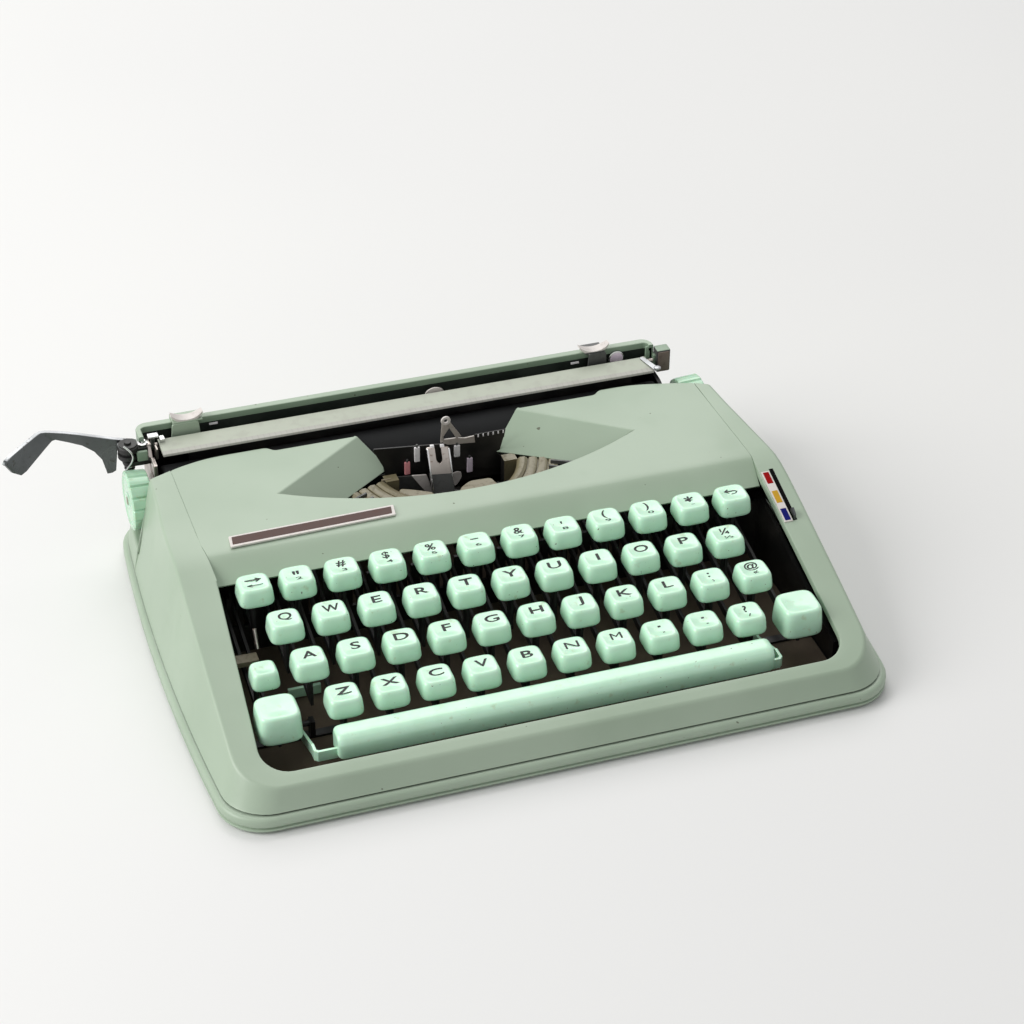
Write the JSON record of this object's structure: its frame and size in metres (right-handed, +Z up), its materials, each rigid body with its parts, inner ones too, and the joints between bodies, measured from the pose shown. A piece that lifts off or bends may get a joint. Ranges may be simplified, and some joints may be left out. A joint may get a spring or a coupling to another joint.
{
  "type": "portable typewriter",
  "caption": "Flat manual portable typewriter with a sprung four-row keyboard, lift-off ribbon cover and sliding carriage.",
  "frame": {"origin": "centre of the tray's footprint on its flat underside, which stands on the table", "axes": "+X to the typist's right, along the carriage; +Y away from the typist; +Z up"},
  "size_m": [0.3322, 0.213, 0.0631],
  "materials": {
    "body_paint": "worn satin enamel",
    "key_plastic": "glossy, slightly stained",
    "black_steel": "satin black enamel",
    "carriage_paint": "satin enamel",
    "chrome": "dulled bright plating",
    "type_metal": "tarnished",
    "platen_rubber": "hard, lightly polished"
  },
  "bodies": {
    "base": {"base_tray": "body_paint", "body_shell": "body_paint", "chassis": "black_steel", "type_basket": "type_metal"},
    "ribbon_cover": {"ribbon_cover": "body_paint"},
    "ribbon_guide": {"ribbon_guide": "chrome"},
    "ribbon_selector": {"ribbon_selector": "chrome"},
    "carriage": {"carriage_frame": "carriage_paint"},
    "platen": {"platen": "platen_rubber"},
    "paper_bail": {"paper_bail": "body_paint"},
    "margin_stop_left": {"margin_stop_left": "chrome"},
    "margin_stop_right": {"margin_stop_right": "chrome"},
    "return_lever": {"return_lever": "chrome"},
    "space_bar": {"space_bar": "key_plastic"},
    "shift_keys": {"shift_keys": "key_plastic"},
    "shift_lock_key": {"shift_lock_key": "key_plastic"},
    "key_tab": {"key_tab": "key_plastic"},
    "key_2": {"key_2": "key_plastic"},
    "key_3": {"key_3": "key_plastic"},
    "key_4": {"key_4": "key_plastic"},
    "key_5": {"key_5": "key_plastic"},
    "key_6": {"key_6": "key_plastic"},
    "key_7": {"key_7": "key_plastic"},
    "key_8": {"key_8": "key_plastic"},
    "key_9": {"key_9": "key_plastic"},
    "key_0": {"key_0": "key_plastic"},
    "key_dash": {"key_dash": "key_plastic"},
    "key_backspace": {"key_backspace": "key_plastic"},
    "key_q": {"key_q": "key_plastic"},
    "key_w": {"key_w": "key_plastic"},
    "key_e": {"key_e": "key_plastic"},
    "key_r": {"key_r": "key_plastic"},
    "key_t": {"key_t": "key_plastic"},
    "key_y": {"key_y": "key_plastic"},
    "key_u": {"key_u": "key_plastic"},
    "key_i": {"key_i": "key_plastic"},
    "key_o": {"key_o": "key_plastic"},
    "key_p": {"key_p": "key_plastic"},
    "key_half": {"key_half": "key_plastic"},
    "key_a": {"key_a": "key_plastic"},
    "key_s": {"key_s": "key_plastic"},
    "key_d": {"key_d": "key_plastic"},
    "key_f": {"key_f": "key_plastic"},
    "key_g": {"key_g": "key_plastic"},
    "key_h": {"key_h": "key_plastic"},
    "key_j": {"key_j": "key_plastic"},
    "key_k": {"key_k": "key_plastic"},
    "key_l": {"key_l": "key_plastic"},
    "key_colon": {"key_colon": "key_plastic"},
    "key_at": {"key_at": "key_plastic"},
    "key_z": {"key_z": "key_plastic"},
    "key_x": {"key_x": "key_plastic"},
    "key_c": {"key_c": "key_plastic"},
    "key_v": {"key_v": "key_plastic"},
    "key_b": {"key_b": "key_plastic"},
    "key_n": {"key_n": "key_plastic"},
    "key_m": {"key_m": "key_plastic"},
    "key_comma": {"key_comma": "key_plastic"},
    "key_stop": {"key_stop": "key_plastic"},
    "key_query": {"key_query": "key_plastic"}
  },
  "joints": [
    {"name": "carriage_travel", "type": "slide", "parent": "base", "child": "carriage", "axis": [1, 0, 0], "range_m": [-0.095, 0.11]},
    {"name": "return_lever_pull", "type": "hinge", "parent": "carriage", "child": "return_lever", "pos_m": [-0.134, 0.0935, 0.05], "axis": [0, 0, 1], "range_deg": [0, 30], "stiffness_Nm_per_rad": 0.06, "springref_deg": -14.32},
    {"name": "platen_turn", "type": "hinge", "parent": "carriage", "child": "platen", "pos_m": [0, 0.082, 0.0335], "axis": [1, 0, 0], "continuous": true},
    {"name": "paper_bail_lift", "type": "hinge", "parent": "carriage", "child": "paper_bail", "pos_m": [0, 0.0961, 0.0503], "axis": [-1, 0, 0], "range_deg": [0, 75]},
    {"name": "ribbon_cover_lift", "type": "slide", "parent": "base", "child": "ribbon_cover", "axis": [0, 0, 1], "range_m": [0, 0.045]},
    {"name": "margin_stop_left_slide", "type": "slide", "parent": "carriage", "child": "margin_stop_left", "axis": [1, 0, 0], "range_m": [-0.01, 0.08]},
    {"name": "margin_stop_right_slide", "type": "slide", "parent": "carriage", "child": "margin_stop_right", "axis": [1, 0, 0], "range_m": [-0.08, 0.018]},
    {"name": "ribbon_selector_slide", "type": "slide", "parent": "base", "child": "ribbon_selector", "axis": [0, 0.9583, 0.2858], "range_m": [0, 0.019]},
    {"name": "ribbon_guide_rise", "type": "slide", "parent": "base", "child": "ribbon_guide", "axis": [0, 0, 1], "range_m": [0, 0.009], "stiffness_N_per_m": 20, "springref_m": -0.006},
    {"name": "space_bar_press", "type": "hinge", "parent": "base", "child": "space_bar", "pos_m": [0, -0.0565, 0.0085], "axis": [1, 0, 0], "range_deg": [0, 13.04], "stiffness_Nm_per_rad": 0.03507, "springref_deg": -30.42},
    {"name": "shift_keys_press", "type": "hinge", "parent": "base", "child": "shift_keys", "pos_m": [0, 0.0435, 0.032], "axis": [1, 0, 0], "range_deg": [0, 3.63], "stiffness_Nm_per_rad": 0.69979, "springref_deg": -7.25},
    {"name": "shift_lock_key_press", "type": "hinge", "parent": "base", "child": "shift_lock_key", "pos_m": [0, 0.0435, 0.032], "axis": [1, 0, 0], "range_deg": [0, 3.78], "stiffness_Nm_per_rad": 0.41375, "springref_deg": -5.04},
    {"name": "key_tab_press", "type": "hinge", "parent": "base", "child": "key_tab", "pos_m": [0, 0.0435, 0.032], "axis": [1, 0, 0], "range_deg": [0, 8.57], "stiffness_Nm_per_rad": 0.08978, "springref_deg": -11.99},
    {"name": "key_2_press", "type": "hinge", "parent": "base", "child": "key_2", "pos_m": [0, 0.0435, 0.032], "axis": [1, 0, 0], "range_deg": [0, 8.57], "stiffness_Nm_per_rad": 0.08978, "springref_deg": -11.99},
    {"name": "key_3_press", "type": "hinge", "parent": "base", "child": "key_3", "pos_m": [0, 0.0435, 0.032], "axis": [1, 0, 0], "range_deg": [0, 8.57], "stiffness_Nm_per_rad": 0.08978, "springref_deg": -11.99},
    {"name": "key_4_press", "type": "hinge", "parent": "base", "child": "key_4", "pos_m": [0, 0.0435, 0.032], "axis": [1, 0, 0], "range_deg": [0, 8.57], "stiffness_Nm_per_rad": 0.08978, "springref_deg": -11.99},
    {"name": "key_5_press", "type": "hinge", "parent": "base", "child": "key_5", "pos_m": [0, 0.0435, 0.032], "axis": [1, 0, 0], "range_deg": [0, 8.57], "stiffness_Nm_per_rad": 0.08978, "springref_deg": -11.99},
    {"name": "key_6_press", "type": "hinge", "parent": "base", "child": "key_6", "pos_m": [0, 0.0435, 0.032], "axis": [1, 0, 0], "range_deg": [0, 8.57], "stiffness_Nm_per_rad": 0.08978, "springref_deg": -11.99},
    {"name": "key_7_press", "type": "hinge", "parent": "base", "child": "key_7", "pos_m": [0, 0.0435, 0.032], "axis": [1, 0, 0], "range_deg": [0, 8.57], "stiffness_Nm_per_rad": 0.08978, "springref_deg": -11.99},
    {"name": "key_8_press", "type": "hinge", "parent": "base", "child": "key_8", "pos_m": [0, 0.0435, 0.032], "axis": [1, 0, 0], "range_deg": [0, 8.57], "stiffness_Nm_per_rad": 0.08978, "springref_deg": -11.99},
    {"name": "key_9_press", "type": "hinge", "parent": "base", "child": "key_9", "pos_m": [0, 0.0435, 0.032], "axis": [1, 0, 0], "range_deg": [0, 8.57], "stiffness_Nm_per_rad": 0.08978, "springref_deg": -11.99},
    {"name": "key_0_press", "type": "hinge", "parent": "base", "child": "key_0", "pos_m": [0, 0.0435, 0.032], "axis": [1, 0, 0], "range_deg": [0, 8.57], "stiffness_Nm_per_rad": 0.08978, "springref_deg": -11.99},
    {"name": "key_dash_press", "type": "hinge", "parent": "base", "child": "key_dash", "pos_m": [0, 0.0435, 0.032], "axis": [1, 0, 0], "range_deg": [0, 8.57], "stiffness_Nm_per_rad": 0.08978, "springref_deg": -11.99},
    {"name": "key_backspace_press", "type": "hinge", "parent": "base", "child": "key_backspace", "pos_m": [0, 0.0435, 0.032], "axis": [1, 0, 0], "range_deg": [0, 8.57], "stiffness_Nm_per_rad": 0.08978, "springref_deg": -11.99},
    {"name": "key_q_press", "type": "hinge", "parent": "base", "child": "key_q", "pos_m": [0, 0.0435, 0.032], "axis": [1, 0, 0], "range_deg": [0, 6.32], "stiffness_Nm_per_rad": 0.16483, "springref_deg": -8.85},
    {"name": "key_w_press", "type": "hinge", "parent": "base", "child": "key_w", "pos_m": [0, 0.0435, 0.032], "axis": [1, 0, 0], "range_deg": [0, 6.32], "stiffness_Nm_per_rad": 0.16483, "springref_deg": -8.85},
    {"name": "key_e_press", "type": "hinge", "parent": "base", "child": "key_e", "pos_m": [0, 0.0435, 0.032], "axis": [1, 0, 0], "range_deg": [0, 6.32], "stiffness_Nm_per_rad": 0.16483, "springref_deg": -8.85},
    {"name": "key_r_press", "type": "hinge", "parent": "base", "child": "key_r", "pos_m": [0, 0.0435, 0.032], "axis": [1, 0, 0], "range_deg": [0, 6.32], "stiffness_Nm_per_rad": 0.16483, "springref_deg": -8.85},
    {"name": "key_t_press", "type": "hinge", "parent": "base", "child": "key_t", "pos_m": [0, 0.0435, 0.032], "axis": [1, 0, 0], "range_deg": [0, 6.32], "stiffness_Nm_per_rad": 0.16483, "springref_deg": -8.85},
    {"name": "key_y_press", "type": "hinge", "parent": "base", "child": "key_y", "pos_m": [0, 0.0435, 0.032], "axis": [1, 0, 0], "range_deg": [0, 6.32], "stiffness_Nm_per_rad": 0.16483, "springref_deg": -8.85},
    {"name": "key_u_press", "type": "hinge", "parent": "base", "child": "key_u", "pos_m": [0, 0.0435, 0.032], "axis": [1, 0, 0], "range_deg": [0, 6.32], "stiffness_Nm_per_rad": 0.16483, "springref_deg": -8.85},
    {"name": "key_i_press", "type": "hinge", "parent": "base", "child": "key_i", "pos_m": [0, 0.0435, 0.032], "axis": [1, 0, 0], "range_deg": [0, 6.32], "stiffness_Nm_per_rad": 0.16483, "springref_deg": -8.85},
    {"name": "key_o_press", "type": "hinge", "parent": "base", "child": "key_o", "pos_m": [0, 0.0435, 0.032], "axis": [1, 0, 0], "range_deg": [0, 6.32], "stiffness_Nm_per_rad": 0.16483, "springref_deg": -8.85},
    {"name": "key_p_press", "type": "hinge", "parent": "base", "child": "key_p", "pos_m": [0, 0.0435, 0.032], "axis": [1, 0, 0], "range_deg": [0, 6.32], "stiffness_Nm_per_rad": 0.16483, "springref_deg": -8.85},
    {"name": "key_half_press", "type": "hinge", "parent": "base", "child": "key_half", "pos_m": [0, 0.0435, 0.032], "axis": [1, 0, 0], "range_deg": [0, 6.32], "stiffness_Nm_per_rad": 0.16483, "springref_deg": -8.85},
    {"name": "key_a_press", "type": "hinge", "parent": "base", "child": "key_a", "pos_m": [0, 0.0435, 0.032], "axis": [1, 0, 0], "range_deg": [0, 5], "stiffness_Nm_per_rad": 0.26244, "springref_deg": -7.01},
    {"name": "key_s_press", "type": "hinge", "parent": "base", "child": "key_s", "pos_m": [0, 0.0435, 0.032], "axis": [1, 0, 0], "range_deg": [0, 5], "stiffness_Nm_per_rad": 0.26244, "springref_deg": -7.01},
    {"name": "key_d_press", "type": "hinge", "parent": "base", "child": "key_d", "pos_m": [0, 0.0435, 0.032], "axis": [1, 0, 0], "range_deg": [0, 5], "stiffness_Nm_per_rad": 0.26244, "springref_deg": -7.01},
    {"name": "key_f_press", "type": "hinge", "parent": "base", "child": "key_f", "pos_m": [0, 0.0435, 0.032], "axis": [1, 0, 0], "range_deg": [0, 5], "stiffness_Nm_per_rad": 0.26244, "springref_deg": -7.01},
    {"name": "key_g_press", "type": "hinge", "parent": "base", "child": "key_g", "pos_m": [0, 0.0435, 0.032], "axis": [1, 0, 0], "range_deg": [0, 5], "stiffness_Nm_per_rad": 0.26244, "springref_deg": -7.01},
    {"name": "key_h_press", "type": "hinge", "parent": "base", "child": "key_h", "pos_m": [0, 0.0435, 0.032], "axis": [1, 0, 0], "range_deg": [0, 5], "stiffness_Nm_per_rad": 0.26244, "springref_deg": -7.01},
    {"name": "key_j_press", "type": "hinge", "parent": "base", "child": "key_j", "pos_m": [0, 0.0435, 0.032], "axis": [1, 0, 0], "range_deg": [0, 5], "stiffness_Nm_per_rad": 0.26244, "springref_deg": -7.01},
    {"name": "key_k_press", "type": "hinge", "parent": "base", "child": "key_k", "pos_m": [0, 0.0435, 0.032], "axis": [1, 0, 0], "range_deg": [0, 5], "stiffness_Nm_per_rad": 0.26244, "springref_deg": -7.01},
    {"name": "key_l_press", "type": "hinge", "parent": "base", "child": "key_l", "pos_m": [0, 0.0435, 0.032], "axis": [1, 0, 0], "range_deg": [0, 5], "stiffness_Nm_per_rad": 0.26244, "springref_deg": -7.01},
    {"name": "key_colon_press", "type": "hinge", "parent": "base", "child": "key_colon", "pos_m": [0, 0.0435, 0.032], "axis": [1, 0, 0], "range_deg": [0, 5], "stiffness_Nm_per_rad": 0.26244, "springref_deg": -7.01},
    {"name": "key_at_press", "type": "hinge", "parent": "base", "child": "key_at", "pos_m": [0, 0.0435, 0.032], "axis": [1, 0, 0], "range_deg": [0, 5], "stiffness_Nm_per_rad": 0.26244, "springref_deg": -7.01},
    {"name": "key_z_press", "type": "hinge", "parent": "base", "child": "key_z", "pos_m": [0, 0.0435, 0.032], "axis": [1, 0, 0], "range_deg": [0, 4.14], "stiffness_Nm_per_rad": 0.38262, "springref_deg": -5.8},
    {"name": "key_x_press", "type": "hinge", "parent": "base", "child": "key_x", "pos_m": [0, 0.0435, 0.032], "axis": [1, 0, 0], "range_deg": [0, 4.14], "stiffness_Nm_per_rad": 0.38262, "springref_deg": -5.8},
    {"name": "key_c_press", "type": "hinge", "parent": "base", "child": "key_c", "pos_m": [0, 0.0435, 0.032], "axis": [1, 0, 0], "range_deg": [0, 4.14], "stiffness_Nm_per_rad": 0.38262, "springref_deg": -5.8},
    {"name": "key_v_press", "type": "hinge", "parent": "base", "child": "key_v", "pos_m": [0, 0.0435, 0.032], "axis": [1, 0, 0], "range_deg": [0, 4.14], "stiffness_Nm_per_rad": 0.38262, "springref_deg": -5.8},
    {"name": "key_b_press", "type": "hinge", "parent": "base", "child": "key_b", "pos_m": [0, 0.0435, 0.032], "axis": [1, 0, 0], "range_deg": [0, 4.14], "stiffness_Nm_per_rad": 0.38262, "springref_deg": -5.8},
    {"name": "key_n_press", "type": "hinge", "parent": "base", "child": "key_n", "pos_m": [0, 0.0435, 0.032], "axis": [1, 0, 0], "range_deg": [0, 4.14], "stiffness_Nm_per_rad": 0.38262, "springref_deg": -5.8},
    {"name": "key_m_press", "type": "hinge", "parent": "base", "child": "key_m", "pos_m": [0, 0.0435, 0.032], "axis": [1, 0, 0], "range_deg": [0, 4.14], "stiffness_Nm_per_rad": 0.38262, "springref_deg": -5.8},
    {"name": "key_comma_press", "type": "hinge", "parent": "base", "child": "key_comma", "pos_m": [0, 0.0435, 0.032], "axis": [1, 0, 0], "range_deg": [0, 4.14], "stiffness_Nm_per_rad": 0.38262, "springref_deg": -5.8},
    {"name": "key_stop_press", "type": "hinge", "parent": "base", "child": "key_stop", "pos_m": [0, 0.0435, 0.032], "axis": [1, 0, 0], "range_deg": [0, 4.14], "stiffness_Nm_per_rad": 0.38262, "springref_deg": -5.8},
    {"name": "key_query_press", "type": "hinge", "parent": "base", "child": "key_query", "pos_m": [0, 0.0435, 0.032], "axis": [1, 0, 0], "range_deg": [0, 4.14], "stiffness_Nm_per_rad": 0.38262, "springref_deg": -5.8}
  ]
}
